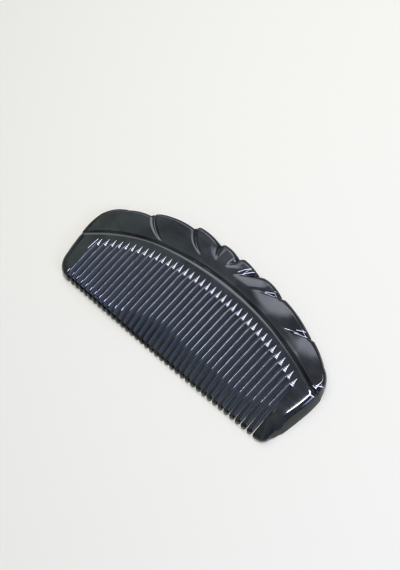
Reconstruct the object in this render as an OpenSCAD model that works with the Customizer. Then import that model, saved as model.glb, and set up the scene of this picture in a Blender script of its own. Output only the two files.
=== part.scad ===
// Horn hair comb with a leaf carved along its back, cut from one flat piece of horn.
// It lies flat: X runs along the comb, the teeth point to -Y and the carved side is up.

/* [Plate] */
// Thickness of the horn plate
plate_thickness = 6.5; // [5:0.1:8]
// How far the rounded edge reaches in from the outline of the leaf
leaf_round = 2.2; // [1.5:0.1:2.6]
// How far the rounded edge reaches in from the outer side of a guard
guard_round = 4; // [2:0.1:4.4]

/* [Teeth] */
// Number of saw cuts between the two guards
cut_count = 37; // [15:2:39]
// Distance from one cut to the next, along the roots
tooth_pitch = 3.6; // [3:0.05:3.6]
// Width of a cut
cut_width = 1.7; // [1:0.05:2]
// Length of the shallow lead-in, filed into the face where a cut starts
lead_length = 4.2; // [2:0.1:6]
// Depth of the lead-in where the cut goes through the plate
lead_depth = 0.7; // [0.3:0.05:1.5]
// Distance from the roots to the point where all cuts aim
fan_radius = 2740; // [900:10:6000]
// Length over which the teeth get thinner towards their tips
taper_length = 12; // [6:0.5:16]
// Thickness that a tooth has lost at its tip
taper_drop = 2.6; // [1:0.1:4]
// How much wider a cut is at its mouth than along the tooth
mouth_flare = 0.7; // [0:0.05:1]

/* [Carving] */
// Width of the grooves of the leaf
groove_width = 1.8; // [0.8:0.1:2.4]
// Depth of the grooves of the leaf
groove_depth = 0.7; // [0.3:0.05:1.2]

/* [Hidden] */

// Height of the outermost line of the rounded edge, on the body and at the tips of the teeth
side_h = plate_thickness / 2;
tip_h = plate_thickness / 5;

// Reach of the rounded edge at the tips of the teeth
tip_round = 1.5;

// Corners of the outline, clockwise from above, starting where the leaf meets the left guard.
// Columns: x, y, height of the edge line, reach of the rounded edge, share of the leaning side in its
// profile, rise of the arc to the next corner (outwards), steps of that arc
OUTLINE = [
    [-78.1, -21.1, side_h, guard_round, 0, 0.0, 1],          // left guard meets the leaf
    [-78.8, -17.9, side_h, guard_round, 0, 0.6, 5],          // left end of the leaf
    [-77.8, -5.8, side_h, leaf_round, 0, 1.9, 6],
    [-65.8, 5.9, side_h, leaf_round, 0, 0.7, 5],
    [-53.5, 10.5, side_h, leaf_round, 0, 0.4, 3],            // notch 1
    [-49.3, 14.5, side_h, leaf_round, 0, 1.2, 8],
    [-28.8, 18.4, side_h, leaf_round, 0, 0.4, 3],            // notch 2
    [-26.3, 21.0, side_h, leaf_round, 0, 0.8, 6],
    [-11.2, 19.3, side_h, leaf_round, 0, 0.3, 2],            // notch 3
    [-9.0, 21.0, side_h, leaf_round, 0, 0.7, 5],             // crest of the leaf
    [1.8, 18.9, side_h, leaf_round, 0, 0.3, 2],              // notch 4
    [4.4, 20.5, side_h, leaf_round, 0, 0.5, 5],
    [16.1, 17.7, side_h, leaf_round, 0, 0.1, 2],             // notch 5
    [19.0, 18.6, side_h, leaf_round, 0, 1.1, 6],
    [32.7, 15.2, side_h, leaf_round, 0, 0.1, 1],             // notch 6
    [34.5, 15.7, side_h, leaf_round, 0, 1.0, 8],
    [57.0, 7.5, side_h, leaf_round, 0, 0.1, 1],              // notch 7
    [58.7, 7.5, side_h, leaf_round, 0, 0.5, 5],
    [70.3, 0.4, side_h, leaf_round, 0, 0.5, 4],
    [75.3, -4.4, side_h, 2.6, 0.3, 0.2, 3],                  // right end of the leaf
    [76.8, -7.8, side_h, 3.4, 0.7, 0.1, 3],
    [77.5, -12.1, side_h, guard_round, 1, 0.3, 6],           // right guard
    [76.3, -23.8, side_h, guard_round, 1, 0.1, 4],
    [74.1, -34.3, side_h, guard_round, 1, 0.2, 3],
    [72.6, -39.2, side_h * 0.7, 3.4, 0.8, 0.3, 3],
    [70.4, -42.7, tip_h, 2.4, 0.3, 0.3, 3],                  // corner of the right guard
    [67.2, -43.9, tip_h, tip_round, 0, 0.1, 2],
    [64.0, -44.2, tip_h, tip_round, 0, 0.5, 12],             // line of the tips
    [-65.0, -43.8, tip_h, tip_round, 0, 0.1, 2],
    [-68.0, -43.5, tip_h, tip_round, 0, 0.6, 5],             // corner of the left guard
    [-73.6, -40.1, side_h * 0.7, guard_round, 0, 0.4, 3],
    [-75.8, -34.4, side_h, guard_round, 0, 0.2, 4]
];
TIPS_RIGHT = [64, -44.2];
TIPS_LEFT = [-65, -43.8];
TIPS_RISE = 0.5;

// Veins of the leaf, from the notch to the midrib.
// Columns: start x, start y, end x, end y, rise of the arc to its left
VEINS = [
    [-52.0, 11.5, -34.5, 1.8, -2.0],
    [-28.1, 19.3, -13.7, 8.5, -2.0],
    [-10.9, 20.5, -6.1, 10.9, -0.9],
    [2.3, 19.9, -0.6, 11.0, 0.1],
    [17.4, 17.9, 4.8, 9.8, -0.3],
    [34.1, 15.6, 16.8, 9.1, -0.3],
    [58.6, 7.9, 41.6, 2.7, -0.5]
];

// Midrib of the leaf, from left to right.
// Columns: x, y, rise of the arc to the next corner
MIDRIB = [
    [-77.9, -21.5, 2.4],
    [-40.5, -1.0, 4.7],
    [40.0, -0.4, 0.8],
    [76.5, -13.2, 0.0]
];

// Steps of one arc of a groove
GROOVE_STEPS = 8;
// Profile of the edge, from its foot to its top. Columns: angle of the rounded edge, and for the leaning
// side: share of the reach, share of the height
EDGE = [
    [-90, 0, 0],
    [-58, 0.02, 0.12],
    [-30, 0.08, 0.3],
    [0, 0.2, 0.5],
    [30, 0.38, 0.76],
    [58, 0.6, 0.95],
    [90, 1, 1]
];
// The blank is this much higher and deeper than the plate, and is planed down to it
skim = 0.05;
// Cutters reach this far past what they cut
over = 1;

// Points of an arc from p to q, without q itself
function bow(p, q, rise, steps) =
    let (run = q - p, side = [-run.y, run.x, 0, 0, 0] / norm([run.x, run.y]))
    [for (k = [0:steps - 1]) let (t = k / steps) p + t * (q - p) + side * 4 * rise * t * (1 - t)];

function corner(row) = [row[0], row[1], row[2], row[3], row[4]];

// The point whose x and y are columns k and k + 1 of a table's row
function spot(row, k) = [row[k], row[k + 1], 0, 0, 0];

// Unit vector at point i of a closed outline that goes clockwise, pointing into the shape
function inward(points, i) =
    let (n = len(points), a = points[(i + n - 1) % n], b = points[(i + 1) % n], run = b - a)
    [run.y, -run.x] / norm([run.x, run.y]);

// The same, evened out over the neighbours so that the rounded edge has no creases
function even_inward(points, i) =
    let (n = len(points),
        sum = inward(points, (i + n - 1) % n) + 2 * inward(points, i) + inward(points, (i + 1) % n))
    sum / norm(sum);

outline = [
    for (i = [0:len(OUTLINE) - 1])
        let (row = OUTLINE[i], next = OUTLINE[(i + 1) % len(OUTLINE)])
        each bow(corner(row), corner(next), row[5], row[6])
];
insets = [for (i = [0:len(outline) - 1]) even_inward(outline, i)];

// Middle of the comb's own box, which is the origin
middle_x = (max([for (p = outline) p.x]) + min([for (p = outline) p.x])) / 2;
middle_y = (max([for (p = outline) p.y]) + min([for (p = outline) p.y])) / 2;

// The roots of the cuts lie on a bow. Its four parts grow with the powers 1 to 4 of the share of half the row
HALF_ROW = 64.8;
ROOT_BOW = [1.2, -9.6, 1.0, -4.1];

// Where a cut starts, and where the line of the tips is, at a place along the comb
function root_y(x) = let (s = x / HALF_ROW) ROOT_BOW * [s, s * s, pow(s, 3), pow(s, 4)];
function tip_y(x) =
    let (t = (TIPS_RIGHT.x - x) / (TIPS_RIGHT.x - TIPS_LEFT.x))
    TIPS_RIGHT.y + t * (TIPS_LEFT.y - TIPS_RIGHT.y) - 4 * TIPS_RISE * t * (1 - t);

tips_tilt = atan2(TIPS_RIGHT.y - TIPS_LEFT.y, TIPS_RIGHT.x - TIPS_LEFT.x);
// The arc of the taper starts this much above the plate, so that it crosses the top at an angle
taper_lead = 0.12;
taper_fall = taper_drop + taper_lead;
taper_radius = (taper_length * taper_length + taper_fall * taper_fall) / (2 * taper_fall);
comb_reach = 200;

// The floor of the lead-in starts this far before the tip of the cut, so that they don't meet in a point
floor_start = 0.3;
// Length of the wall at the end of the lead-in, seen from above
end_wall = 1.1;
// Length over which a cut gets wider at its mouth, and how far the cutters reach past the tips
mouth_length = 3;
mouth_over = 3;

// How far in from the outline p the blank's surface is in a row of the edge's profile, and how high
function edge_in(p, row) = p[3] * ((1 - p[4]) * (1 - cos(row[0])) + p[4] * row[1]);
function edge_z(p, row) =
    let (round = p.z + sin(row[0]) * ((row[0] < 0 ? p.z : plate_thickness - p.z) + skim),
        lean = row[2] * (plate_thickness + 2 * skim) - skim)
    (1 - p[4]) * round + p[4] * lean;

// The whole plate with its rounded edge, a little too thick
module blank() {
    n = len(outline);
    rings = len(EDGE);
    points = [
        for (row = EDGE)
            for (i = [0:n - 1])
                let (p = outline[i], away = edge_in(p, row))
                [p.x + insets[i].x * away, p.y + insets[i].y * away, edge_z(p, row)]
    ];
    sides = [
        for (j = [0:rings - 2])
            for (i = [0:n - 1])
                let (a = j * n + i, b = j * n + (i + 1) % n)
                each [[a, b, b + n], [a, b + n, a + n]]
    ];
    foot = [for (i = [0:n - 1]) n - 1 - i];
    top = [for (i = [0:n - 1]) (rings - 1) * n + i];
    polyhedron(points, concat([foot], sides, [top]));
}

// The plate between its two true flat faces
module plate() {
    intersection() {
        blank();
        translate([-comb_reach / 2, -comb_reach / 2, 0]) cube([comb_reach, comb_reach, plate_thickness]);
    }
}

// What is shaved off the top of the teeth, so that they get thinner towards their tips
module tip_taper() {
    translate([0, TIPS_RIGHT.y + TIPS_RISE, 0]) rotate([0, 0, tips_tilt])
        difference() {
            translate([-comb_reach / 2, -comb_reach / 4, 0])
                cube([comb_reach, comb_reach / 4 + taper_length, plate_thickness + over]);
            translate([0, taper_length, plate_thickness + taper_lead - taper_radius]) rotate([0, 90, 0])
                cylinder(r = taper_radius, h = comb_reach + 2 * over, center = true, $fn = 96);
        }
}

// One saw cut, with its closed end at the origin and its mouth towards -Y
module cut(length) {
    half = cut_width / 2;
    flare = half + mouth_flare / 2;
    slope = (lead_length + floor_start) / lead_depth;
    past = length + mouth_over;
    intersection() {
        translate([0, 0, -over]) linear_extrude(plate_thickness + 2 * over)
            polygon([
                [0, 0], [half, -lead_length], [half, mouth_length - length], [flare, -length], [flare, -past],
                [-flare, -past], [-flare, -length], [-half, mouth_length - length], [-half, -lead_length]
            ]);
        rotate([90, 0, 90]) linear_extrude(cut_width + mouth_flare + over, center = true)
            polygon([
                [floor_start + over * slope, plate_thickness + over],
                [-lead_length, plate_thickness - lead_depth],
                [-lead_length - end_wall, -over],
                [-past - over, -over],
                [-past - over, plate_thickness + over]
            ]);
    }
}

module cuts() {
    for (i = [0:cut_count - 1]) {
        x = (i - (cut_count - 1) / 2) * tooth_pitch;
        y = root_y(x);
        translate([x * (1 + y / fan_radius), y, 0]) rotate([0, 0, -atan(x / fan_radius)])
            cut(y - tip_y(x));
    }
}

// A V-shaped groove in the top face along a path
module groove(path) {
    n = len(path);
    half = groove_width / 2 * (groove_depth + over) / groove_depth;
    sides = [for (i = [0:n - 1])
        let (run = path[min(i + 1, n - 1)] - path[max(i - 1, 0)]) [-run.y, run.x, 0] / norm(run)];
    lift = [0, 0, plate_thickness + over];
    points = [
        for (i = [0:n - 1])
            let (p = [path[i].x, path[i].y, 0], valley = [0, 0, plate_thickness - groove_depth])
            each [p + lift + half * sides[i], p + valley, p + lift - half * sides[i]]
    ];
    walls = [
        for (i = [0:n - 2])
            for (k = [0:2])
                let (a = 3 * i + k, b = 3 * i + (k + 1) % 3)
                each [[a, b, b + 3], [a, b + 3, a + 3]]
    ];
    polyhedron(points, concat([[2, 1, 0]], walls, [[3 * n - 3, 3 * n - 2, 3 * n - 1]]));
}

// The leaf's midrib and veins
module leaf_grooves() {
    ends = len(MIDRIB) - 1;
    groove([
        for (i = [0:ends - 1])
            each bow(spot(MIDRIB[i], 0), spot(MIDRIB[i + 1], 0), MIDRIB[i][2], GROOVE_STEPS),
        spot(MIDRIB[ends], 0)
    ]);
    for (vein = VEINS)
        groove([each bow(spot(vein, 0), spot(vein, 2), vein[4], GROOVE_STEPS), spot(vein, 2)]);
}

module comb() {
    color([0.08, 0.09, 0.09])
        translate([-middle_x, -middle_y, 0])
            difference() {
                plate();
                tip_taper();
                cuts();
                leaf_grooves();
            }
}

comb();
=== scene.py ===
"""Looks of a black horn hair comb: its carved and polished plate, its sawn teeth, and a pale studio floor."""
import math

import bmesh
import bpy
import numpy as np
from bpy.props import FloatProperty, FloatVectorProperty, IntProperty, PointerProperty
from mathutils import Matrix, Vector


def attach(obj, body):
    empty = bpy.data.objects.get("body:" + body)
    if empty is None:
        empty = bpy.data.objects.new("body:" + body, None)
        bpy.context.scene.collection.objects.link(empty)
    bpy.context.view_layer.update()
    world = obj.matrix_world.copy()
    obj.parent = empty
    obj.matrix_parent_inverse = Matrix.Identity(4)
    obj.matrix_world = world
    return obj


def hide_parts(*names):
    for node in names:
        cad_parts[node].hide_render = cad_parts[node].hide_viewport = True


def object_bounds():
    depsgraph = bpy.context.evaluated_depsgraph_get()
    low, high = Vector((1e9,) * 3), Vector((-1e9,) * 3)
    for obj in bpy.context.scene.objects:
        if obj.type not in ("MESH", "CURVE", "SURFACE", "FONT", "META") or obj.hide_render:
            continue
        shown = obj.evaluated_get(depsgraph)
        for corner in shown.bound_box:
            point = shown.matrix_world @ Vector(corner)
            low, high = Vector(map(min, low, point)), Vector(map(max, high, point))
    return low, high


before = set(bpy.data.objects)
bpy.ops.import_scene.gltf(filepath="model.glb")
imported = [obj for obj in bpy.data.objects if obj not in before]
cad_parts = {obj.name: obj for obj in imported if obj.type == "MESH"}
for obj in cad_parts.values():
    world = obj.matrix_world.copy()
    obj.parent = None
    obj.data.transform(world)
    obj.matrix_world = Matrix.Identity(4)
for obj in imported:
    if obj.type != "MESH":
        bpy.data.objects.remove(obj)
CAD_LOW, CAD_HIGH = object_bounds()

bl_info = {
    "name": "Horn comb",
    "version": (1, 0, 0),
    "blender": (4, 5, 0),
    "location": "3D View > Sidebar > Comb",
    "description": "Builds the carved and polished surface of a horn hair comb over its solid",
    "category": "Add Mesh",
}

MM = 0.001

# The drawing of the comb, in millimetres, has its origin at the closed end of the middle saw cut.
# X runs along the comb, the teeth point to -Y and the carved face looks up.
THICKNESS = (CAD_HIGH.z - CAD_LOW.z) / MM
# Heights of the edge's outermost line and reaches of its rounding, as the table of the outline uses them
SIDE = THICKNESS / 2
TIP = THICKNESS / 5
GUARD_ROUND = 4.0
LEAF_ROUND = 2.2
TIP_ROUND = 1.5

# Corners of the outline, clockwise from above, from where the leaf meets the left guard.
# Columns: x, y, height of the edge's outermost line, reach of its rounding,
# share of the bevel in its profile, rise of the arc to the next corner
OUTLINE = [
    (-78.1, -21.1, SIDE, GUARD_ROUND, 0.0, 0.0),
    (-78.8, -17.9, SIDE, GUARD_ROUND, 0.0, 0.6),
    (-77.8, -5.8, SIDE, LEAF_ROUND, 0.0, 1.9),
    (-65.8, 5.9, SIDE, LEAF_ROUND, 0.0, 0.7),
    (-53.5, 10.5, SIDE, LEAF_ROUND, 0.0, 0.4),
    (-49.3, 14.5, SIDE, LEAF_ROUND, 0.0, 1.2),
    (-28.8, 18.4, SIDE, LEAF_ROUND, 0.0, 0.4),
    (-26.3, 21.0, SIDE, LEAF_ROUND, 0.0, 0.8),
    (-11.2, 19.3, SIDE, LEAF_ROUND, 0.0, 0.3),
    (-9.0, 21.0, SIDE, LEAF_ROUND, 0.0, 0.7),
    (1.8, 18.9, SIDE, LEAF_ROUND, 0.0, 0.3),
    (4.4, 20.5, SIDE, LEAF_ROUND, 0.0, 0.5),
    (16.1, 17.7, SIDE, LEAF_ROUND, 0.0, 0.1),
    (19.0, 18.6, SIDE, LEAF_ROUND, 0.0, 1.1),
    (32.7, 15.2, SIDE, LEAF_ROUND, 0.0, 0.1),
    (34.5, 15.7, SIDE, LEAF_ROUND, 0.0, 1.0),
    (57.0, 7.5, SIDE, LEAF_ROUND, 0.0, 0.1),
    (58.7, 7.5, SIDE, LEAF_ROUND, 0.0, 0.5),
    (70.3, 0.4, SIDE, 1.6, 0.0, 0.5),
    (75.3, -4.4, SIDE, 1.6, 0.2, 0.2),
    (76.8, -7.8, SIDE, 4.4, 0.8, 0.1),
    (77.5, -12.1, SIDE, 5.0, 1.0, 0.3),
    (76.3, -23.8, SIDE, 7.8, 1.0, 0.1),
    (74.1, -34.3, SIDE, 10.2, 1.0, 0.2),
    (72.6, -39.2, SIDE * 0.7, 6.4, 0.8, 0.3),
    (70.4, -42.7, TIP, 2.4, 0.3, 0.3),
    (67.2, -43.9, TIP, TIP_ROUND, 0.0, 0.1),
    (64.0, -44.2, TIP, TIP_ROUND, 0.0, 0.5),
    (-65.0, -43.8, TIP, TIP_ROUND, 0.0, 0.1),
    (-68.0, -43.5, TIP, TIP_ROUND, 0.0, 0.6),
    (-73.6, -40.1, SIDE * 0.7, GUARD_ROUND, 0.0, 0.4),
    (-75.8, -34.4, SIDE, GUARD_ROUND, 0.0, 0.2),
]
# Places on the outline, counted in rows of the table above
LEFT_TIP_CORNER = 29.5
LEFT_JOINT = 32.0
LEFT_LEAF_CORNER = 2.5
RIGHT_LEAF_CORNER = 18.3
RIGHT_JOINT = 21.1
RIGHT_TIP_CORNER = 25.3
# Ends of the line of the tips, and how far it bends towards -Y
TIPS_RIGHT = (64.0, -44.2)
TIPS_LEFT = (-65.0, -43.8)
TIPS_RISE = 0.5

# Midrib of the leaf, from left to right. Columns: x, y, rise of the arc to the next corner
MIDRIB = [
    (-77.7, -21.4, 2.4),
    (-40.5, -1.0, 4.7),
    (40.0, -0.4, 0.8),
    (76.5, -13.2, 0.0),
]

# Veins of the leaf, from the notch in the outline to the inner end.
# Columns: start x, y, end x, y, rise of the arc, depth, and for the right and left side of the valley:
# reach of the gentle slope, share of the depth that it takes
VEINS = [
    (-52.0, 11.6, -34.5, 1.8, -2.0, 0.8, 1.8, 0.3, 3.0, 0.6),
    (-28.1, 19.5, -13.7, 8.5, -2.0, 1.1, 1.8, 0.3, 2.6, 0.4),
    (-10.9, 20.7, -6.1, 10.9, -0.9, 1.3, 6.0, 0.75, 5.0, 0.5),
    (2.3, 20.1, -0.6, 11.0, 0.1, 1.4, 6.0, 0.75, 2.5, 0.3),
    (17.4, 18.1, 4.8, 9.8, -0.3, 1.5, 7.5, 0.7, 2.0, 0.3),
    (34.1, 15.8, 16.8, 9.1, -0.3, 1.8, 13.0, 0.8, 2.5, 0.5),
    (58.6, 8.1, 41.6, 2.7, -0.5, 2.0, 15.0, 0.8, 2.5, 0.5),
]
# Reach of the steep part of a valley, on either side
CLIFF = 1.1

# Highlights painted into the horn's colour as short pale strokes, where glints of light lie at the outer ends
# of the veins and where the leaf ends.
# Columns: start x, y, end x, y, half width
PAINTED_GLINTS = [
    (6.8, 12.6, 8.7, 15.6, 0.20),
    (8.7, 15.6, 10.9, 17.8, 0.22),
    (9.5, 13.7, 10.9, 17.8, 0.13),
    (9.5, 13.7, 13.4, 17.4, 0.17),
    (24.5, 12.8, 28.6, 14.8, 0.19),
    (24.4, 12.3, 29.4, 13.7, 0.15),
    (28.6, 14.8, 30.2, 14.2, 0.14),
    (49.1, 6.5, 53.0, 8.2, 0.20),
    (48.9, 4.9, 55.0, 7.0, 0.16),
    (51.8, 7.7, 54.0, 7.0, 0.15),
    (72.0, -9.7, 73.7, -10.0, 0.22),
    (73.7, -10.0, 73.9, -8.5, 0.22),
    (73.9, -8.5, 75.6, -7.3, 0.22),
    (72.3, -12.5, 74.0, -13.8, 0.34),
    (74.0, -13.8, 75.4, -13.5, 0.30),
    (-66.3, -17.5, -66.9, -24.5, 0.22),
]

# Highlights painted at the bright ends of the line of light on the leftmost teeth: their number, how far they
# lie past the place where the tooth starts to get thinner, half their length and half their width
TOOTH_END_GLINTS = 12
GLINT_PAST = 1.0
GLINT_HALF_LENGTH = 0.7
GLINT_HALF_WIDTH = 0.26

# Step of the outline, and the span over which the edge's direction is evened out
SAMPLE = 0.1
EVEN_SPAN = 2.4
# Fewest steps of an arc of the outline
FEWEST_STEPS = 4
# Points of the midrib's arcs, of a vein and of a side of the outline
RIB_SAMPLES = 200
VEIN_SAMPLES = 40
SIDE_SAMPLES = 400
# Angles of the rounded edge, from the carved face over the outermost line to the resting face
EDGE_ANGLES = (80, 70, 60, 50, 40, 30, 20, 11, 2, -8, -18, -36, -54, -72, -90)
# Profile of a bevelled edge, as shares of its reach and height: top of the steep foot, top of the bevel,
# and how far in the curve from there to the face is pulled up
FOOT = (0.03, 0.2)
BEVEL = (0.267, 0.754)
BEVEL_PULL = 0.43
# Shares of the turn from the resting face at which the foot and the bevel end
FOOT_END = 0.2
BEVEL_END = 0.4


class CombSettings(bpy.types.PropertyGroup):
    """Sizes and colours of the comb that a user would change."""
    tooth_pitch: FloatProperty(
        name="Tooth pitch", description="Distance from one saw cut to the next along the roots",
        default=3.6 * MM, unit="LENGTH")
    cut_count: IntProperty(
        name="Cuts", description="Number of saw cuts between the guards", default=37)
    cut_width: FloatProperty(
        name="Cut width", description="Width of a cut at the carved face", default=1.9 * MM, unit="LENGTH")
    cut_foot: FloatProperty(
        name="Cut foot", description="Width of a cut at the resting face", default=0.8 * MM, unit="LENGTH")
    tooth_crown: FloatProperty(
        name="Tooth crown", description="How far the polish rounds each long edge of a tooth's top",
        default=0.5 * MM, unit="LENGTH")
    horn_dark: FloatVectorProperty(
        name="Dark horn", description="Colour of the horn's dark streaks",
        default=(0.006, 0.006, 0.006), subtype="COLOR", size=3)
    horn_light: FloatVectorProperty(
        name="Light horn", description="Colour of the horn's paler, greenish clouds",
        default=(0.022, 0.027, 0.024), subtype="COLOR", size=3)
    # partly painted light: sawn horn is paler, and this colour is painted lighter and lilac still for the
    # light that the lead-in floors catch
    sawn_and_lit_colour: FloatVectorProperty(
        name="Sawn horn", description="Colour of the unpolished floors of the cuts",
        default=(0.90, 0.88, 0.96), subtype="COLOR", size=3)
    # painted highlight: pale colour of the short strokes painted where glints of light lie
    glint_colour: FloatVectorProperty(
        name="Strokes", description="Colour of the short strokes that were left unpolished",
        default=(0.70, 0.68, 0.80), subtype="COLOR", size=3)
    # partly painted reflection: the dull walls' horn, painted lighter and bluer to stand in for the floor and
    # the bluish light that the walls reflect
    wall_and_reflection_colour: FloatVectorProperty(
        name="Rubbed horn", description="Colour of the dull walls between the teeth",
        default=(0.142, 0.162, 0.202), subtype="COLOR", size=3)
    floor_colour: FloatVectorProperty(
        name="Floor", description="Colour of the pale floor",
        default=(0.815, 0.78, 0.64), subtype="COLOR", size=3)


def settings():
    """The sizes and colours that the panel shows."""
    return bpy.context.scene.comb_settings


def bow(p, q, rise, t):
    """Points at the fractions t of the arc from p to q, which rises to its left."""
    p, q = np.asarray(p, float), np.asarray(q, float)
    run = q - p
    side = np.zeros(len(p))
    side[:2] = np.array((-run[1], run[0])) / math.hypot(run[0], run[1])
    t = np.asarray(t)[:, None]
    return p + t * run + side * 4 * rise * t * (1 - t)


def along(points):
    """Length from the first point to each point of a line."""
    steps = np.hypot(*np.diff(points[:, :2], axis=0).T)
    return np.concatenate(([0.0], np.cumsum(steps)))


def spread(points, count):
    """The line as count points at even distances."""
    lengths = along(points)
    wanted = np.linspace(0, lengths[-1], count)
    return np.stack([np.interp(wanted, lengths, column) for column in points.T], 1)


class Outline:
    """The comb's outline in fine steps, with the way inwards at each of them."""

    def __init__(self):
        rows, places = [], []
        for k, row in enumerate(OUTLINE):
            following = OUTLINE[(k + 1) % len(OUTLINE)]
            size = math.hypot(following[0] - row[0], following[1] - row[1])
            steps = max(FEWEST_STEPS, round(size / SAMPLE))
            t = np.arange(steps) / steps
            rows.append(bow(row[:5], following[:5], row[5], t))
            places.append(k + t)
        self.points = np.concatenate(rows)
        self.places = np.concatenate(places)
        run = np.roll(self.points[:, :2], -1, 0) - np.roll(self.points[:, :2], 1, 0)
        run /= np.hypot(*run.T)[:, None]
        half = round(EVEN_SPAN / SAMPLE)
        window = np.hanning(2 * half + 1)
        n = len(run)
        wrapped = np.concatenate((run[-half:], run, run[:half]))
        run = np.stack([np.convolve(column, window, "valid") for column in wrapped.T], 1)[:n]
        run /= np.hypot(*run.T)[:, None]
        self.inwards = np.stack((run[:, 1], -run[:, 0]), 1)

    def stretch(self, start, end, count):
        """Rows of x, y, edge height, reach, bevel share and the way inwards, evenly from start to end."""
        turns = len(OUTLINE)
        places = np.concatenate((self.places - turns, self.places, self.places + turns))
        data = np.tile(np.concatenate((self.points, self.inwards), 1), (3, 1))
        low, high = min(start, end), max(start, end)
        inside = data[(places >= low) & (places <= high)]
        line = spread(inside, count)
        return line if end >= start else line[::-1]


def inner(rows):
    """Where the rounded edge meets the carved face, for rows of the outline."""
    return rows[:, :2] + rows[:, 5:7] * rows[:, 3:4]


def bevel_point(angle):
    """Shares of the reach and of the height at an angle of the bevelled edge's profile."""
    t = (angle + 90) / 180
    if t < FOOT_END:
        return FOOT[0] * t / FOOT_END, FOOT[1] * t / FOOT_END
    if t < BEVEL_END:
        k = (t - FOOT_END) / (BEVEL_END - FOOT_END)
        return FOOT[0] + k * (BEVEL[0] - FOOT[0]), FOOT[1] + k * (BEVEL[1] - FOOT[1])
    k = (t - BEVEL_END) / (1 - BEVEL_END)
    into = (1 - k) ** 2 * BEVEL[0] + 2 * k * (1 - k) * BEVEL_PULL + k * k
    up = (1 - k) ** 2 * BEVEL[1] + 2 * k * (1 - k) + k * k
    return into, up


def midrib_line():
    """The midrib's arcs as one fine line."""
    t = np.linspace(0, 1, RIB_SAMPLES, endpoint=False)
    arcs = [bow(a[:2], b[:2], a[2], t) for a, b in zip(MIDRIB, MIDRIB[1:])]
    return np.concatenate(arcs + [np.array([MIDRIB[-1][:2]])])


def patch(bottom, top, left, right, v):
    """Grid of points between four lines. v holds a row's share of the way from bottom to top."""
    u = along(bottom) / along(bottom)[-1]
    u = u[None, :, None]
    v = v[:, None, None]
    edges = (1 - v) * bottom[None] + v * top[None] + (1 - u) * left[:, None] + u * right[:, None]
    corners = ((1 - u) * (1 - v) * bottom[0] + u * (1 - v) * bottom[-1]
               + (1 - u) * v * top[0] + u * v * top[-1])
    return edges - corners


def offset_from(line, x, y, chunk=4000):
    """Distance of points from a line, positive on its left, and the line's share at the nearest place."""
    a, b = line[:-1], line[1:]
    run = b - a
    size = (run ** 2).sum(1)
    share = along(line) / along(line)[-1]
    distance, place = np.empty(len(x)), np.empty(len(x))
    for s in range(0, len(x), chunk):
        p = np.stack((x[s:s + chunk], y[s:s + chunk]), 1)[:, None]
        t = np.clip(((p - a) * run).sum(2) / size, 0, 1)
        away = p - (a + t[..., None] * run)
        k = (away ** 2).sum(2).argmin(1)
        rows = np.arange(len(k))
        near = away[rows, k]
        side = run[k, 0] * near[:, 1] - run[k, 1] * near[:, 0]
        distance[s:s + chunk] = np.hypot(near[:, 0], near[:, 1]) * np.where(side < 0, -1, 1)
        place[s:s + chunk] = share[k] + t[rows, k] * (share[k + 1] - share[k])
    return distance, place


def smooth(x):
    """A soft step from 0 to 1 as x goes from 0 to 1."""
    x = np.clip(x, 0, 1)
    return x * x * (3 - 2 * x)


# Slope down to the midrib from the teeth's side: its width, its drop and how late it gets steep
RIB_WIDTH = 1.5
RIB_HEIGHT = 0.17
RIB_CURVE = 1.5
# Groove behind the midrib: how far behind it its deepest line and its start lie, its half width and its depth
GROOVE_PLACE = 0.9
GROOVE_START = -1
GROOVE_WIDTH = 0.495
GROOVE_DEPTH = 0.75
# How much lower than the teeth's side the field of the leaf lies, and the width of the way down
FIELD_DROP = 0.25
FIELD_WAY = 3.0
# Veins: share of a vein's length over which it fades out inwards, share of the reach that is left there,
# how far along the comb a valley can reach, and where behind the midrib the valleys begin and the way from
# there to their full depth
VEIN_FADE = 0.75
VEIN_NARROWEST = 0.35
VEIN_NEAR = 30.0
VEINS_BEGIN = 0.8
VEINS_WAY = 2.5
# Where the teeth start to get thinner. Columns: x, distance from the line of the tips
TAPER = [
    (-63.5, 4.8),
    (-33.0, 5.2),
    (-25.7, 7.8),
    (-15.2, 11.2),
    (-8.0, 13.5),
    (0.3, 14.8),
    (12.7, 13.1),
    (31.3, 12.7),
    (48.8, 11.5),
    (57.9, 13.4),
    (64.9, 15.8),
]
# Slopes of short and long tapers, the distances from the tips that they go with, and the length of the
# soft start
TAPER_SLOPES = (0.36, 0.24)
TAPER_REACHES = (6, 14)
TAPER_START = 2.2


def tips_y(x):
    """The line that the tips of the teeth stand on."""
    t = (TIPS_RIGHT[0] - x) / (TIPS_RIGHT[0] - TIPS_LEFT[0])
    return TIPS_RIGHT[1] + t * (TIPS_LEFT[1] - TIPS_RIGHT[1]) - 4 * TIPS_RISE * t * (1 - t)


def taper(x, reach):
    """How much lower the face is at a place along the comb and a distance from the tips."""
    knee = np.interp(x, *zip(*TAPER))
    slope = np.interp(knee, TAPER_REACHES, TAPER_SLOPES)
    past = np.clip(knee - reach, 0, knee + 1)
    return slope * np.where(past < TAPER_START, past ** 2 / (2 * TAPER_START), past - TAPER_START / 2)


def midrib_relief(w):
    """Height beside the midrib: a slope down to it, the groove behind it, and the field of the leaf."""
    rib = -RIB_HEIGHT * np.clip((w + RIB_WIDTH) / RIB_WIDTH, 0, 1) ** RIB_CURVE
    groove = GROOVE_DEPTH * np.exp(-((w - GROOVE_PLACE) / GROOVE_WIDTH) ** 2)
    return rib - groove * (w > GROOVE_START) - (FIELD_DROP - RIB_HEIGHT) * smooth(w / FIELD_WAY)


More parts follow.
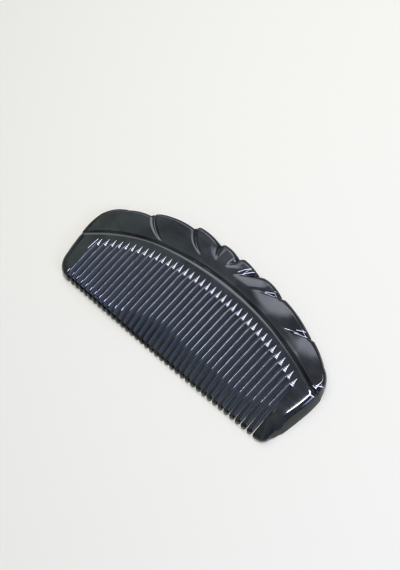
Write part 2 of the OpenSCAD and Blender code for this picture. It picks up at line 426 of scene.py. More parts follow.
def vein_relief(vein, x, y):
    """Depth of one vein's valley at points of the leaf."""
    start, end, rise, depth = vein[0:2], vein[2:4], vein[4], vein[5]
    w, t = offset_from(bow(start, end, rise, np.linspace(0, 1, VEIN_SAMPLES)), x, y)
    fade = smooth((1 - t) / VEIN_FADE)
    valley = np.zeros(len(x))
    # the line runs from the outline inwards, so the right side of the valley is on its left
    for on_side, reach, share in ((w >= 0, vein[6], vein[7]), (w < 0, vein[8], vein[9])):
        away = np.where(on_side, np.abs(w), np.inf)
        wide = reach * (VEIN_NARROWEST + (1 - VEIN_NARROWEST) * fade)
        gentle = np.clip(1 - away / wide, 0, 1) ** 2
        steep = 0.5 + 0.5 * np.cos(np.clip(away / CLIFF, 0, 1) * math.pi)
        valley = np.maximum(valley, share * gentle + (1 - share) * steep)
    return depth * fade * valley


def face_height(x, y):
    """Height of the carved face at points of the drawing."""
    z = THICKNESS - taper(x, y - tips_y(x))
    w, _ = offset_from(midrib_line(), x, y)
    z = z + midrib_relief(w)
    for vein in VEINS:
        near = (np.abs(x - (vein[0] + vein[2]) / 2) < VEIN_NEAR) & (w > VEINS_BEGIN)
        cut = np.zeros(len(x))
        cut[near] = vein_relief(vein, x[near], y[near])
        z = z - cut * smooth((w - VEINS_BEGIN) / VEINS_WAY)
    return z


def rows_between(start, end, count):
    """Even shares from start up to, but without, end."""
    return np.linspace(start, end, count, endpoint=False)


# Rows of the grid, as shares of the way from the tips to the midrib and from there to the back, close
# together at the midrib, and the number of its columns along the comb
FRONT_ROWS = np.concatenate((
    rows_between(0, 0.42, 18), rows_between(0.42, 0.92, 7), rows_between(0.92, 1, 8)))
LEAF_ROWS = np.concatenate((rows_between(0, 0.14, 10), np.linspace(0.14, 1, 52)))
COLUMNS = 430
# How far an extruded ring of points is moved before each point gets its own place
RING_STEP = 0.1


def plan_grid(outline):
    """Rows of plan points from the tips to the back, and the outline rows that each edge point belongs to."""
    count = COLUMNS + 1
    tips = outline.stretch(LEFT_TIP_CORNER, RIGHT_TIP_CORNER, count)
    back = outline.stretch(LEFT_LEAF_CORNER, RIGHT_LEAF_CORNER, count)
    sides = {}
    for name, start, middle, end in (
            ("left", LEFT_TIP_CORNER, LEFT_JOINT, LEFT_LEAF_CORNER + len(OUTLINE)),
            ("right", RIGHT_TIP_CORNER, RIGHT_JOINT, RIGHT_LEAF_CORNER)):
        front = outline.stretch(start, middle, SIDE_SAMPLES)
        leaf = outline.stretch(middle, end, SIDE_SAMPLES)
        share = np.linspace(0, 1, SIDE_SAMPLES)
        sides[name] = [
            np.stack([np.interp(v, share, column) for column in part.T], 1)
            for part, v in ((front, FRONT_ROWS), (leaf, LEAF_ROWS))]
    left_end = inner(sides["left"][1][:1])[0]
    right_end = inner(sides["right"][1][:1])[0]
    rib = midrib_line()
    first = np.argmin(np.hypot(*(rib - left_end).T))
    last = np.argmin(np.hypot(*(rib - right_end).T))
    rib = np.concatenate(([left_end], rib[first + 1:last], [right_end]))
    rib = spread(rib, count)
    front = patch(inner(tips), rib, inner(sides["left"][0]), inner(sides["right"][0]), FRONT_ROWS)
    leaf = patch(rib, inner(back), inner(sides["left"][1]), inner(sides["right"][1]), LEAF_ROWS)
    left = np.concatenate(sides["left"])
    right = np.concatenate(sides["right"])
    return np.concatenate((front, leaf)), tips, back, left, right


def select_nothing():
    """Leaves edit mode and takes everything out of the selection."""
    if bpy.context.mode != "OBJECT":
        bpy.ops.object.mode_set(mode="OBJECT")
    bpy.ops.object.select_all(action="DESELECT")


def make_active(obj):
    """Selects one object and makes it the active one."""
    select_nothing()
    obj.select_set(True)
    bpy.context.view_layer.objects.active = obj


def carve_plate(name, shift):
    """The comb without its cuts: a grid shaped to the carved face, its edge rolled over, its back closed."""
    outline = Outline()
    grid, tips, back, left, right = plan_grid(outline)
    rows = len(grid)
    select_nothing()
    bpy.ops.mesh.primitive_grid_add(x_subdivisions=COLUMNS, y_subdivisions=rows - 1, size=2)
    plate = bpy.context.object
    plate.name = name
    mesh = plate.data
    mesh.name = name
    place = np.empty(len(mesh.vertices) * 3)
    mesh.vertices.foreach_get("co", place)
    place = place.reshape(-1, 3)
    i = np.rint((place[:, 0] + 1) / 2 * COLUMNS).astype(int)
    j = np.rint((place[:, 1] + 1) / 2 * (rows - 1)).astype(int)
    plan = grid[j, i]
    place[:, :2] = plan
    place[:, 2] = face_height(plan[:, 0], plan[:, 1])
    mesh.vertices.foreach_set("co", place.ravel())
    # each point of the border keeps the number of its outline row
    edge_rows = np.concatenate((tips, right[1:], back[::-1][1:], left[::-1][1:-1]))
    border = [(k, 0) for k in range(COLUMNS + 1)]
    border += [(COLUMNS, k) for k in range(1, rows)]
    border += [(k, rows - 1) for k in range(COLUMNS - 1, -1, -1)]
    border += [(0, k) for k in range(rows - 2, 0, -1)]
    number = {cell: k for k, cell in enumerate(border)}
    bpy.ops.object.mode_set(mode="EDIT")
    bm = bmesh.from_edit_mesh(mesh)
    layer = bm.verts.layers.int.new("outline_row")
    bm.verts.ensure_lookup_table()
    for v in bm.verts:
        v[layer] = number.get((i[v.index], j[v.index]), -1)
    rims = []
    h, reach, bevelled = edge_rows[:, 2], edge_rows[:, 3], edge_rows[:, 4]
    for angle in EDGE_ANGLES:
        c, s = math.cos(math.radians(angle)), math.sin(math.radians(angle))
        into, up = bevel_point(angle)
        away = reach * ((1 - bevelled) * (1 - c) + bevelled * into)
        ring = edge_rows[:, :2] + edge_rows[:, 5:7] * away[:, None]
        face = face_height(ring[:, 0], ring[:, 1])
        rounded = h + s * (face - h) if angle > 0 else h * (1 + s)
        rims.append(np.column_stack((ring, (1 - bevelled) * rounded + bevelled * up * face)))
    bpy.ops.mesh.select_all(action="DESELECT")
    bpy.ops.mesh.select_mode(type="EDGE")
    bpy.ops.mesh.select_non_manifold()
    for rim in rims:
        bpy.ops.mesh.extrude_edges_move(TRANSFORM_OT_translate={"value": (0, 0, -RING_STEP)})
        bm = bmesh.from_edit_mesh(mesh)
        layer = bm.verts.layers.int["outline_row"]
        for v in bm.verts:
            if v.select:
                v.co = rim[v[layer]]
        bmesh.update_edit_mesh(mesh)
    bpy.ops.mesh.edge_face_add()
    bpy.ops.mesh.select_all(action="SELECT")
    bpy.ops.mesh.normals_make_consistent(inside=False)
    bpy.ops.object.mode_set(mode="OBJECT")
    mesh.attributes.remove(mesh.attributes["outline_row"])
    mesh.transform(Matrix.Scale(MM, 4) @ Matrix.Translation(shift))
    return plate


# The roots of the cuts lie on a bow. Its four parts grow with the powers 1 to 4 of the share of half the row
HALF_ROW = 64.8
ROOT_BOW = (1.2, -9.64, 1.0, -4.1)
# The cuts converge a little, towards a place this far off on the side of the teeth
FAN_RADIUS = 2740.0
# A cut starts with a shallow lead-in, filed into the face. At its end a steep wall goes through the plate
LEAD_LENGTH = 4.2
LEAD_DEPTH = 0.65
END_WALL = 1.1
# Length that a cutter is modelled at, before its part past the fixed end is moved to the tips
CUTTER_LENGTH = 40.0
FIXED_END = -LEAD_LENGTH * 1.5 - 1
# Radius of a tooth's end, seen from above
TIP_CURVE = 1.3
# How much further from its middle a cut's upper edge is towards the tips than at the root, and the share of
# the cutter's length over which it gets there
FILED_TOP = 0.25
FILED_WAY = 0.5
# Share of the lead-in's width that its floor takes
LEAD_FLOOR = 0.8
# Depth of the rounding of a tooth's top for each unit of its width, how much deeper it gets at the tips,
# and the length over which it does
CROWN_SHAPE = 0.6
CROWN_TIP = 0.9
CROWN_TIP_LENGTH = 9.0
# Share of the lead-in at which that rounding starts to grow, and the least share of it that there is
CROWN_BEGIN = 0.5
CROWN_LEAST = 0.1
# Angles of the rounding, then its lip as shares of its width and depth, and the width of the cutter over it
CROWN_ANGLES = (0, 22, 42, 60, 76)
CROWN_LIP = (0.92, 0.03)
CROWN_OUT = 1.02
# Rounding of a tooth's lower edges: its height, the most that it takes of a thin tip, its points as shares
# of the upper rounding's width and of its own height, and the cutter's share of that width under the plate
LOW_EDGE = 0.5
LOW_EDGE_MOST = 0.6
LOW_EDGE_POINTS = ((0.35, 0.1), (0.1, 0.45))
LOW_EDGE_OUT = 0.7
# Length at the tips where the walls of a cut are polished too
POLISHED_TIP = 2.2
# How far a cutter stands out over and under the plate
OVER = 1.0
# Half the distance between the cuts at the tips, less a little, and how near points of a cutter are merged
WIDEST = 1.66
MERGED = 0.002
# Places from its closed end at which a cutter's section is drawn: past that end and at the lead-in
ROOT_STATIONS = (
    0.25, -0.02, -LEAD_LENGTH * 0.5, -LEAD_LENGTH * 0.98, -LEAD_LENGTH - 0.25,
    -LEAD_LENGTH - END_WALL * 0.7, -LEAD_LENGTH - END_WALL - 0.1, -LEAD_LENGTH * 1.5 - 0.5)
# Distances from the tips at which it is drawn: along the teeth, and at the tips
TOOTH_STATIONS = range(18, 2, -1)
TIP_STATIONS = (2, 1.3, 0.8, 0.45, 0.2, 0.05, -3)
# How the normals of a cutter's faces tell them apart: smallest sideways part at a wall, and smallest part
# downwards at the lead-in's floor and backwards at the closed end
WALL_TURN = 0.93
FLOOR_TURN = 0.5


def root_y(x):
    """Where the closed end of the cut at a place along the comb lies."""
    s = x / HALF_ROW
    return sum(part * s ** (k + 1) for k, part in enumerate(ROOT_BOW))


def cutter_section(x, y, half, foot, crown):
    """Half outline, from below to above, of the cutter across the cut at a distance y from its closed end."""
    past = y + CUTTER_LENGTH
    top = THICKNESS - float(taper(x, past))
    opened = min(1.0, max(0.0, -y / LEAD_LENGTH))
    lead_floor = THICKNESS - LEAD_DEPTH * opened
    floor = lead_floor - (lead_floor + OVER) * min(1.0, max(0.0, (-y - LEAD_LENGTH) / END_WALL))
    near = TIP_CURVE - min(TIP_CURVE, max(past, 0))
    flare = TIP_CURVE - math.sqrt(TIP_CURVE ** 2 - near ** 2)
    upper = half + FILED_TOP * min(1.0, max(0.0, (-y - LEAD_LENGTH) / (CUTTER_LENGTH * FILED_WAY)))

    def wide(z):
        return opened * (foot + (upper - foot) * max(z, 0) / THICKNESS) + flare

    grown = min(1.0, max(CROWN_LEAST, (-y - LEAD_LENGTH * CROWN_BEGIN) / LEAD_LENGTH))
    across = crown[0] * grown
    down = crown[1] * grown * (1 + CROWN_TIP * max(0.0, 1 - max(past, 0) / CROWN_TIP_LENGTH))
    low = min(LOW_EDGE, (top - down) * LOW_EDGE_MOST)
    if floor < 0:
        section = [(wide(0) + across * LOW_EDGE_OUT, -OVER)]
        section += [(wide(0) + across * out, low * up) for out, up in LOW_EDGE_POINTS]
        section.append((wide(low), low))
    else:
        # every section has the same number of points
        section = [(wide(floor) * LEAD_FLOOR if y > -LEAD_LENGTH else wide(floor), floor)] * 4
    for angle in CROWN_ANGLES:
        turn = math.radians(angle)
        z = max(floor, top - down * (1 - math.sin(turn)))
        section.append((wide(z) + across * (1 - math.cos(turn)), z))
    section.append((wide(top) + across * CROWN_LIP[0], top + down * CROWN_LIP[1]))
    section.append((wide(top) + across * CROWN_OUT, top + OVER))
    return [(min(out, WIDEST), z) for out, z in section]


def saw_cutter(name, x, half, foot, crown):
    """The space that one saw cut leaves, with its closed end at the origin and its mouth towards -Y."""
    tip_stations = [-CUTTER_LENGTH + d for d in (*TOOTH_STATIONS, *TIP_STATIONS)]
    sections = []
    for y in (*ROOT_STATIONS, *tip_stations):
        side = cutter_section(x, y, half, foot, crown)
        if y > 0:
            # past the closed end the cutter ends in a narrow slit over the plate
            side = [(0.02, THICKNESS + OVER * 0.5 + 0.01 * k) for k in range(len(side))]
        ring = [Vector((out, y, z)) for out, z in side]
        ring += [Vector((-out, y, z)) for out, z in reversed(side)]
        sections.append(ring)
    bpy.ops.object.select_all(action="DESELECT")
    bpy.ops.mesh.primitive_circle_add(vertices=len(sections[0]), radius=1, fill_type="NGON")
    cutter = bpy.context.object
    cutter.name = name
    bpy.ops.object.mode_set(mode="EDIT")
    bm = bmesh.from_edit_mesh(cutter.data)
    layer = bm.verts.layers.int.new("corner")
    bm.verts.ensure_lookup_table()
    for k, v in enumerate(bm.verts):
        v[layer] = k
        v.co = sections[0][k]
    for ring in sections[1:]:
        bpy.ops.mesh.extrude_region_move(TRANSFORM_OT_translate={"value": (0, -RING_STEP, 0)})
        bm = bmesh.from_edit_mesh(cutter.data)
        layer = bm.verts.layers.int["corner"]
        for v in bm.verts:
            if v.select:
                v.co = ring[v[layer]]
        bmesh.update_edit_mesh(cutter.data)
    bpy.ops.mesh.select_all(action="SELECT")
    bpy.ops.mesh.remove_doubles(threshold=MERGED)
    bpy.ops.mesh.normals_make_consistent(inside=False)
    bpy.ops.object.mode_set(mode="OBJECT")
    return cutter


def mark_sawn_faces(cutter, materials):
    """Gives the lead-in's floor the second material and the cut's walls, short of the tips, the third."""
    for material in materials:
        cutter.data.materials.append(material)
    for face in cutter.data.polygons:
        reach = -face.center.y
        if face.normal.z < -FLOOR_TURN and reach < LEAD_LENGTH + 0.1 and face.center.z < THICKNESS:
            face.material_index = 1
            continue
        upright = abs(face.normal.x) > WALL_TURN or face.normal.y > FLOOR_TURN
        if upright and LEAD_LENGTH < reach <= CUTTER_LENGTH - POLISHED_TIP:
            face.material_index = 2


def saw_teeth(plate, shift):
    """Cuts the teeth: each cut has its own cutter, as its taper needs, and all are taken out at once."""
    s = settings()
    half, foot, pitch = s.cut_width / MM / 2, s.cut_foot / MM / 2, s.tooth_pitch / MM
    crown = (s.tooth_crown / MM, s.tooth_crown / MM * CROWN_SHAPE)
    cutters = []
    for k in range(s.cut_count):
        x = (k - (s.cut_count - 1) / 2) * pitch
        y = root_y(x)
        cutter = saw_cutter("saw_cut", x, half, foot, crown)
        mark_sawn_faces(cutter, plate.data.materials)
        extra = y - float(tips_y(x)) - CUTTER_LENGTH
        for v in cutter.data.vertices:
            if v.co.y < FIXED_END:
                v.co.y -= extra
        place = Matrix.Scale(MM, 4) @ Matrix.Translation(shift)
        place = place @ Matrix.Translation((x * (1 + y / FAN_RADIUS), y, 0))
        cutter.data.transform(place @ Matrix.Rotation(-math.atan(x / FAN_RADIUS), 4, "Z"))
        cutters.append(cutter)
    make_active(cutters[0])
    for cutter in cutters:
        cutter.select_set(True)
    bpy.ops.object.join()
    cuts = bpy.context.object
    make_active(plate)
    saw = plate.modifiers.new("saw", "BOOLEAN")
    saw.object = cuts
    saw.operation = "DIFFERENCE"
    saw.solver = "EXACT"
    saw.material_mode = "INDEX"
    bpy.ops.object.modifier_apply(modifier="saw")
    bpy.data.objects.remove(cuts)


def node(tree, kind, place, **values):
    """A new node at a place in the tree, with the values of its sockets or else of its own settings."""
    made = tree.nodes.new(kind)
    made.location = place
    for key, value in values.items():
        if key in made.inputs:
            made.inputs[key].default_value = value
        else:
            setattr(made, key, value)
    return made


# Noises in the horn. The first is round, the others are stretched along the comb.
# Columns: output, input for the scale, its usual value, detail, roughness, distortion
GRAINS = [
    ("Clouds", "Cloud Size", 60.0, 3.0, 0.55, 0.6),
    ("Streaks", "Streak Size", 300.0, 4.0, 0.6, 0.3),
    ("Scratches", "Scratch Size", 2500.0, 2.0, 0.7, 0.0),
]
GRAIN_STRETCH = 0.18


def horn_grain_group():
    """Clouds and streaks of horn, and the fine scratches that polishing leaves in it."""
    group = bpy.data.node_groups.new("horn_grain", "ShaderNodeTree")
    link = group.links.new
    for output, size, scale, *_ in GRAINS:
        socket = group.interface.new_socket(size, in_out="INPUT", socket_type="NodeSocketFloat")
        socket.default_value = scale
        group.interface.new_socket(output, in_out="OUTPUT", socket_type="NodeSocketFloat")
    start = node(group, "NodeGroupInput", (-900, 0))
    end = node(group, "NodeGroupOutput", (500, 0))
    where = node(group, "ShaderNodeTexCoord", (-900, -300))
    long = node(group, "ShaderNodeMapping", (-600, 0))
    long.inputs["Scale"].default_value = (GRAIN_STRETCH, 1.0, 1.0)
    link(where.outputs["Object"], long.inputs["Vector"])
    for k, (output, size, _, detail, roughness, distortion) in enumerate(GRAINS):
        noise = node(
            group, "ShaderNodeTexNoise", (-300, 300 - 300 * k),
            Detail=detail, Roughness=roughness, Distortion=distortion)
        link(long.outputs["Vector"] if k else where.outputs["Object"], noise.inputs["Vector"])
        link(start.outputs[size], noise.inputs["Scale"])
        link(noise.outputs["Fac"], end.inputs[output])
    return group


# Distances from a painted highlight's middle line at which it has faded out and is full, as shares of its
# half width
GLINT_FADE = (1.25, 0.6)


def painted_glint_group():
    """Mask of one highlight painted into the carved face's colour as a short stroke: full along a line, and
    soft at its sides.
    """
    group = bpy.data.node_groups.new("painted_glint", "ShaderNodeTree")
    link = group.links.new
    for name, kind in (("Start", "Vector"), ("Run", "Vector"), ("Half Width", "Float"), ("Lowest", "Float")):
        group.interface.new_socket(name, in_out="INPUT", socket_type="NodeSocket" + kind)
    group.interface.new_socket("Mask", in_out="OUTPUT", socket_type="NodeSocketFloat")
    start = node(group, "NodeGroupInput", (-1400, 0))
    end = node(group, "NodeGroupOutput", (600, 0))
    where = node(group, "ShaderNodeTexCoord", (-1400, 300))
    flat = node(group, "ShaderNodeVectorMath", (-1200, 300), operation="MULTIPLY")
    flat.inputs[1].default_value = (1, 1, 0)
    link(where.outputs["Object"], flat.inputs[0])
    away = node(group, "ShaderNodeVectorMath", (-1000, 200), operation="SUBTRACT")
    link(flat.outputs["Vector"], away.inputs[0])
    link(start.outputs["Start"], away.inputs[1])
    dots = []
    for k, first in enumerate((away.outputs["Vector"], start.outputs["Run"])):
        dot = node(group, "ShaderNodeVectorMath", (-800, 100 - 200 * k), operation="DOT_PRODUCT")
        link(first, dot.inputs[0])
        link(start.outputs["Run"], dot.inputs[1])
        dots.append(dot.outputs["Value"])
    share = node(group, "ShaderNodeMath", (-600, 0), operation="DIVIDE", use_clamp=True)
    link(dots[0], share.inputs[0])
    link(dots[1], share.inputs[1])
    foot = node(group, "ShaderNodeVectorMath", (-400, 0), operation="SCALE")
    link(start.outputs["Run"], foot.inputs[0])
    link(share.outputs["Value"], foot.inputs["Scale"])
    gap = node(group, "ShaderNodeVectorMath", (-200, 100), operation="DISTANCE")
    link(away.outputs["Vector"], gap.inputs[0])
    link(foot.outputs["Vector"], gap.inputs[1])
    ratio = node(group, "ShaderNodeMath", (0, 100), operation="DIVIDE")
    link(gap.outputs["Value"], ratio.inputs[0])
    link(start.outputs["Half Width"], ratio.inputs[1])
    edge = node(group, "ShaderNodeMapRange", (200, 100), interpolation_type="SMOOTHSTEP")
    edge.inputs["From Min"].default_value = GLINT_FADE[0]
    edge.inputs["From Max"].default_value = GLINT_FADE[1]
    link(ratio.outputs["Value"], edge.inputs["Value"])
    height = node(group, "ShaderNodeSeparateXYZ", (-1200, -200))
    link(where.outputs["Object"], height.inputs["Vector"])
    above = node(group, "ShaderNodeMath", (0, -200), operation="GREATER_THAN")
    link(height.outputs["Z"], above.inputs[0])
    link(start.outputs["Lowest"], above.inputs[1])
    mask = node(group, "ShaderNodeMath", (400, 0), operation="MULTIPLY")
    link(edge.outputs["Result"], mask.inputs[0])
    link(above.outputs["Value"], mask.inputs[1])
    link(mask.outputs["Value"], end.inputs["Mask"])
    return group


def tooth_end_glints():
    """Rows like those of the painted highlights, for the highlights painted as bright spots at the ends of
    the leftmost teeth.
    """
    rows = []
    for k in range(TOOTH_END_GLINTS):
        middle = (k - (settings().cut_count - 1) / 2) * settings().tooth_pitch / MM
        x = middle - settings().cut_width / MM / 2 - FILED_TOP
        y = tips_y(x) + np.interp(x, *zip(*TAPER)) - GLINT_PAST
        rows.append((x, y + GLINT_HALF_LENGTH, x, y - GLINT_HALF_LENGTH, GLINT_HALF_WIDTH))
    return rows


def all_painted_glints(tree, glint, shift):
    """One mask of all the highlights painted as strokes in the table and of those painted at the line ends.
    """
    total = None
    for k, (x, y, end_x, end_y, half) in enumerate(PAINTED_GLINTS + tooth_end_glints()):
        one = node(tree, "ShaderNodeGroup", (-1500, -300 * k))
        one.node_tree = glint
        one.inputs["Start"].default_value = ((x + shift.x) * MM, (y + shift.y) * MM, 0)
        one.inputs["Run"].default_value = ((end_x - x) * MM, (end_y - y) * MM, 0)
        one.inputs["Half Width"].default_value = half * MM
        one.inputs["Lowest"].default_value = THICKNESS * MM / 2
        if total is None:
            total = one.outputs["Mask"]
        else:
            most = node(tree, "ShaderNodeMath", (-1300 + 20 * k, -300 * k), operation="MAXIMUM")
            tree.links.new(total, most.inputs[0])
            tree.links.new(one.outputs["Mask"], most.inputs[1])
            total = most.outputs["Value"]
    return total


# Refraction of horn, the noise values between which it goes from dark to light, those between which it goes
# from smooth to streaky, the roughness of both, and the relief of its fine scratches
HORN_IOR = 1.55
CLOUD_RANGE = (0.38, 0.68)
STREAK_RANGE = (0.35, 0.65)
GLOSS = (0.10, 0.17)
SCRATCH_STRENGTH = 0.05
SCRATCH_DEPTH = 0.02 * MM


def polished_horn(grain, shift):
    """Black horn with a buffed gloss, faint greenish clouds, long streaks, and a few highlights painted into
    its colour as short pale strokes.
    """
    s = settings()
    material = bpy.data.materials.new("polished_horn")
    material.use_nodes = True
    tree = material.node_tree
    link = tree.links.new
    shader = tree.nodes["Principled BSDF"]
    shader.inputs["IOR"].default_value = HORN_IOR
    grains = node(tree, "ShaderNodeGroup", (-900, 0))
    grains.node_tree = grain
    tint = node(tree, "ShaderNodeValToRGB", (-600, 200))
    for stop, place, tone in zip(tint.color_ramp.elements, CLOUD_RANGE, (s.horn_dark, s.horn_light)):
        stop.position = place
        stop.color = (*tone, 1)
    link(grains.outputs["Clouds"], tint.inputs["Fac"])
    # highlights painted into the colour where glints of light lie
    glints = all_painted_glints(tree, painted_glint_group(), shift)
    colour = node(tree, "ShaderNodeMix", (-300, 200), data_type="RGBA")
    link(glints, colour.inputs["Factor"])
    link(tint.outputs["Color"], colour.inputs["A"])
    colour.inputs["B"].default_value = (*s.glint_colour, 1)
    link(colour.outputs["Result"], shader.inputs["Base Color"])
    gloss = node(tree, "ShaderNodeMapRange", (-600, -100))
    gloss.inputs["From Min"].default_value = STREAK_RANGE[0]
    gloss.inputs["From Max"].default_value = STREAK_RANGE[1]
    gloss.inputs["To Min"].default_value = GLOSS[0]
    gloss.inputs["To Max"].default_value = GLOSS[1]
    link(grains.outputs["Streaks"], gloss.inputs["Value"])
    link(gloss.outputs["Result"], shader.inputs["Roughness"])
    bump = node(tree, "ShaderNodeBump", (-300, -300))
    bump.inputs["Strength"].default_value = SCRATCH_STRENGTH
    bump.inputs["Distance"].default_value = SCRATCH_DEPTH
    link(grains.outputs["Scratches"], bump.inputs["Height"])
    link(bump.outputs["Normal"], shader.inputs["Normal"])
    return material


# Scale of the wave texture that paints marks about a millimetre apart, a painted reflection of ribbed cloth
# in the walls, how strong the marks are beside the scratches, and the sums of both at which the horn is
# darkest and palest, each with its tone
RIB_REFLECTION_SCALE = 290
RIB_REFLECTION_SHARE = 0.8
RIB_REFLECTION_TONES = ((0.5, 0.4), (1.0, 1.1))
# Roughness of the floors of the lead-ins and of the walls between the teeth
FILED_ROUGHNESS = 0.5
RUBBED_ROUGHNESS = 0.38


def rough_horn(name, grain, colour, roughness):
    """Horn as the saw left it, paler and dull, its colour partly painted light, with marks across the teeth
    painted as a reflection of ribbed cloth.
    """
    material = bpy.data.materials.new(name)
    material.use_nodes = True
    tree = material.node_tree
    link = tree.links.new
    shader = tree.nodes["Principled BSDF"]
    grains = node(tree, "ShaderNodeGroup", (-900, 0))
    grains.node_tree = grain
    tint = node(tree, "ShaderNodeValToRGB", (-600, 200))
    for stop, (place, tone) in zip(tint.color_ramp.elements, RIB_REFLECTION_TONES):
        stop.position = place
        stop.color = (*[tone * c for c in colour], 1)
    where = node(tree, "ShaderNodeTexCoord", (-1200, 300))
    rib_reflection = node(tree, "ShaderNodeTexWave", (-1000, 300), Scale=RIB_REFLECTION_SCALE, Distortion=1.0)
    rib_reflection.bands_direction = "Y"
    link(where.outputs["Object"], rib_reflection.inputs["Vector"])
    both = node(tree, "ShaderNodeMath", (-750, 200), operation="MULTIPLY_ADD")
    link(rib_reflection.outputs["Fac"], both.inputs[0])
    both.inputs[1].default_value = RIB_REFLECTION_SHARE
    link(grains.outputs["Scratches"], both.inputs[2])
    link(both.outputs["Value"], tint.inputs["Fac"])
    link(tint.outputs["Color"], shader.inputs["Base Color"])
    shader.inputs["Roughness"].default_value = roughness
    return material


# Faces that meet at more than this angle keep a sharp edge between them
SHARP_ANGLE = math.radians(38)


def drawing_centre():
    """Centre of the outline's box, in the drawing."""
    points = Outline().points[:, :2]
    return (points.max(0) + points.min(0)) / 2


class COMB_OT_horn_comb(bpy.types.Operator):
    """Carve and saw the comb, and give it its horn"""
    bl_idname = "comb.horn_comb"
    bl_label = "Horn comb"

    def execute(self, context):
        centre = drawing_centre()
        middle = (CAD_LOW + CAD_HIGH) / 2 / MM
        shift = Vector((middle.x - centre[0], middle.y - centre[1], CAD_LOW.z / MM))
        plate = carve_plate("horn_comb", shift)
        grain = horn_grain_group()
        materials = plate.data.materials
        materials.append(polished_horn(grain, shift))
        # floors of the lead-ins, their pale colour partly painted light
        materials.append(rough_horn("filed_and_lit_horn", grain, settings().sawn_and_lit_colour, FILED_ROUGHNESS))
        # walls between the teeth, their colour partly a painted reflection
        materials.append(rough_horn("wall_horn_painted_reflection", grain, settings().wall_and_reflection_colour, RUBBED_ROUGHNESS))
        saw_teeth(plate, shift)
        if not plate.data.polygons:
            raise RuntimeError("The saw cuts left nothing of the plate")
        make_active(plate)
        bpy.ops.object.shade_smooth_by_angle(angle=SHARP_ANGLE)
        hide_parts("comb")
        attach(plate, "root")
        return {"FINISHED"}


# The camera stands where the photograph was taken from: turn round the comb, rise over the floor and roll,
# distance and the point it looks at, in millimetres of the drawing, lens and sensor in millimetres, and the
# nearest distance that it sees, in metres
CAMERA_TURN = math.radians(66.40)
CAMERA_RISE = math.radians(60.97)
CAMERA_ROLL = math.radians(-26.37)
CAMERA_DISTANCE = 376.97
CAMERA_AIM = (-6.906, -2.798)
LENS = 67.5
SENSOR = 36.0
NEAREST = 0.01
# Turn round the comb that the lights' places are given in
LIGHT_TURN = math.radians(39.34)

# Area lights. Columns: name, place as metres to the right, away and up from the point the camera looks at,
# width and depth, radiance, colour, whether the light lies flat instead of facing that point
LIGHTS = [
    ("strip_light", (0.20, 0.05, 1.0), (0.075, 0.50), 60, (0.95, 0.97, 1.06), True),
    ("window", (0.67, -0.50, 0.53), (0.20, 0.45), 8, (0.6, 0.75, 1.3), False),
    ("far_light", (0.02, 0.82, 1.0), (0.50, 0.40), 2.2, (0.93, 0.95, 1.08), False),
    ("far_glow", (0.08, 0.87, 1.0), (0.60, 0.62), 1.4, (0.93, 0.95, 1.08), False),
    ("left_glow", (-0.44, 0.99, 1.0), (0.42, 0.30), 1.9, (0.96, 0.93, 1.08), False),
    ("lilac_light", (-0.3, 0.1, 0.95), (0.30, 0.30), 0.9, (0.95, 0.9, 1.1), False),
]
# Light of the surroundings, from the left (0) over straight up (0.5) to the right (1)
ROOM = [
    (0.0, (0.25, 0.22, 0.18)),
    (0.20, (0.20, 0.20, 0.17)),
    (0.29, (0.22, 0.26, 0.23)),
    (0.325, (0.58, 0.72, 0.65)),
    (0.40, (0.33, 0.37, 0.48)),
    (0.49, (0.33, 0.34, 0.50)),
    (0.56, (0.20, 0.20, 0.32)),
    (1.0, (0.15, 0.16, 0.27)),
]
# The pale band along the horizon: its colour, and the height of a direction at which it has faded out
HORIZON = (0.70, 0.72, 0.62)
HORIZON_TOP = 0.10
FLOOR_SIZE = 6
FLOOR_ROUGHNESS = 0.9
FLOOR_SPECULAR = 0.1
# Width of the filter that smooths the picture, in pixels
PICTURE_FILTER = 1.1


def plain_material(name, colour, roughness, specular):
    """A surface of one colour."""
    material = bpy.data.materials.new(name)
    material.use_nodes = True
    shader = material.node_tree.nodes["Principled BSDF"]
    shader.inputs["Base Color"].default_value = (*colour, 1)
    shader.inputs["Roughness"].default_value = roughness
    shader.inputs["Specular IOR Level"].default_value = specular
    return material


def far_and_right():
    """Directions on the floor to the picture's far side and to its right, that the lights are placed by."""
    far = Vector((-math.sin(LIGHT_TURN), math.cos(LIGHT_TURN), 0))
    right = Vector((math.cos(LIGHT_TURN), math.sin(LIGHT_TURN), 0))
    return far, right


def light_panel(aim, name, place, size, radiance, colour, flat):
    """One area light of the table. It faces the comb, or straight down."""
    far, right = far_and_right()
    up = Vector((0, 0, 1))
    way = right * place[0] + far * place[1] + up * place[2]
    data = bpy.data.lights.new(name, "AREA")
    data.shape = "RECTANGLE"
    data.size, data.size_y = size
    data.energy = radiance * math.pi * size[0] * size[1]
    data.color = colour
    lamp = bpy.data.objects.new(name, data)
    back = up if flat else way.normalized()
    across = right if flat else up.cross(back).normalized()
    axes = Matrix((across, back.cross(across), back)).transposed().to_4x4()
    lamp.matrix_world = Matrix.Translation(aim + way) @ axes
    bpy.context.scene.collection.objects.link(lamp)


def photo_camera(aim):
    """The camera at the photograph's place, rolled as it was."""
    data = bpy.data.cameras.new("camera")
    data.lens = LENS
    data.sensor_width = SENSOR
    data.sensor_fit = "HORIZONTAL"
    data.clip_start = NEAREST
    camera = bpy.data.objects.new("camera", data)
    flat = math.cos(CAMERA_RISE)
    back = Vector((math.sin(CAMERA_TURN) * flat, -math.cos(CAMERA_TURN) * flat, math.sin(CAMERA_RISE)))
    level = Vector((math.cos(CAMERA_TURN), math.sin(CAMERA_TURN), 0))
    upright = back.cross(level)
    right = level * math.cos(CAMERA_ROLL) + upright * math.sin(CAMERA_ROLL)
    up = upright * math.cos(CAMERA_ROLL) - level * math.sin(CAMERA_ROLL)
    axes = Matrix((right, up, back)).transposed().to_4x4()
    camera.matrix_world = Matrix.Translation(aim + back * CAMERA_DISTANCE * MM) @ axes
    bpy.context.scene.collection.objects.link(camera)
    bpy.context.scene.camera = camera


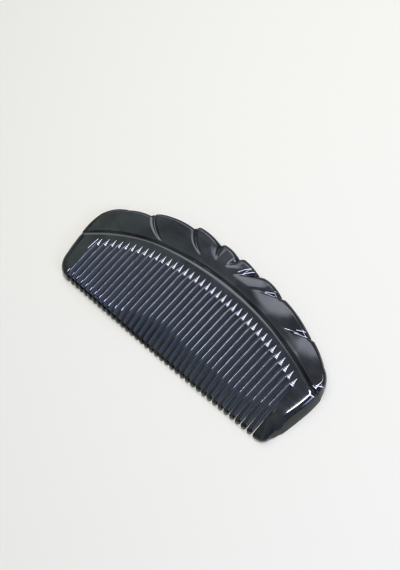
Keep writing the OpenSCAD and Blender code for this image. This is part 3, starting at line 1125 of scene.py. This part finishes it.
def room(world):
    """Dim surroundings: greenish at the left, dark and bluish at the right, pale along the horizon."""
    world.use_nodes = True
    tree = world.node_tree
    link = tree.links.new
    sky = tree.nodes["Background"]
    where = node(tree, "ShaderNodeTexCoord", (-1100, 0))
    turn = node(tree, "ShaderNodeMapping", (-900, 0))
    turn.inputs["Rotation"].default_value = (0, 0, -LIGHT_TURN)
    link(where.outputs["Generated"], turn.inputs["Vector"])
    parts = node(tree, "ShaderNodeSeparateXYZ", (-700, 0))
    link(turn.outputs["Vector"], parts.inputs["Vector"])
    side = node(tree, "ShaderNodeMapRange", (-500, 100))
    side.inputs["From Min"].default_value = -1
    link(parts.outputs["X"], side.inputs["Value"])
    walls = node(tree, "ShaderNodeValToRGB", (-300, 100))
    ramp = walls.color_ramp
    for k, (place, colour) in enumerate(ROOM):
        stop = ramp.elements[k] if k < 2 else ramp.elements.new(place)
        stop.position = place
        stop.color = (*colour, 1)
    link(side.outputs["Result"], walls.inputs["Fac"])
    low = node(tree, "ShaderNodeMapRange", (-500, -200), interpolation_type="SMOOTHSTEP")
    low.inputs["From Min"].default_value = HORIZON_TOP
    low.inputs["From Max"].default_value = 0.0
    link(parts.outputs["Z"], low.inputs["Value"])
    mix = node(tree, "ShaderNodeMix", (-100, 0), data_type="RGBA")
    link(low.outputs["Result"], mix.inputs["Factor"])
    link(walls.outputs["Color"], mix.inputs["A"])
    mix.inputs["B"].default_value = (*HORIZON, 1)
    link(mix.outputs["Result"], sky.inputs["Color"])


class COMB_OT_stage(bpy.types.Operator):
    """Lay the pale floor and set up the studio light and the camera"""
    bl_idname = "comb.stage"
    bl_label = "Studio stage"

    def execute(self, context):
        scene = context.scene
        select_nothing()
        bpy.ops.mesh.primitive_plane_add(size=FLOOR_SIZE, location=(0, 0, 0))
        floor = context.object
        floor.name = "floor"
        floor.data.materials.append(
            plain_material("pale_floor", settings().floor_colour, FLOOR_ROUGHNESS, FLOOR_SPECULAR))
        centre = drawing_centre()
        aim = Vector(((CAMERA_AIM[0] - centre[0]) * MM, (CAMERA_AIM[1] - centre[1]) * MM, 0))
        photo_camera(aim)
        for light in LIGHTS:
            light_panel(aim, *light)
        world = bpy.data.worlds.new("studio")
        scene.world = world
        room(world)
        scene.view_settings.view_transform = "Standard"
        scene.cycles.filter_width = PICTURE_FILTER
        return {"FINISHED"}


class COMB_PT_panel(bpy.types.Panel):
    """The comb's sizes and the steps that build it"""
    bl_idname = "COMB_PT_panel"
    bl_label = "Horn comb"
    bl_space_type = "VIEW_3D"
    bl_region_type = "UI"
    bl_category = "Comb"

    def draw(self, context):
        for name in CombSettings.__annotations__:
            self.layout.prop(context.scene.comb_settings, name)
        for step in (COMB_OT_horn_comb, COMB_OT_stage):
            self.layout.operator(step.bl_idname)


CLASSES = (CombSettings, COMB_OT_horn_comb, COMB_OT_stage, COMB_PT_panel)


def register():
    for made in CLASSES:
        bpy.utils.register_class(made)
    bpy.types.Scene.comb_settings = PointerProperty(type=CombSettings)


def unregister():
    del bpy.types.Scene.comb_settings
    for made in reversed(CLASSES):
        bpy.utils.unregister_class(made)


def main():
    register()
    bpy.ops.comb.horn_comb()
    bpy.ops.comb.stage()


if __name__ == "__main__":
    main()
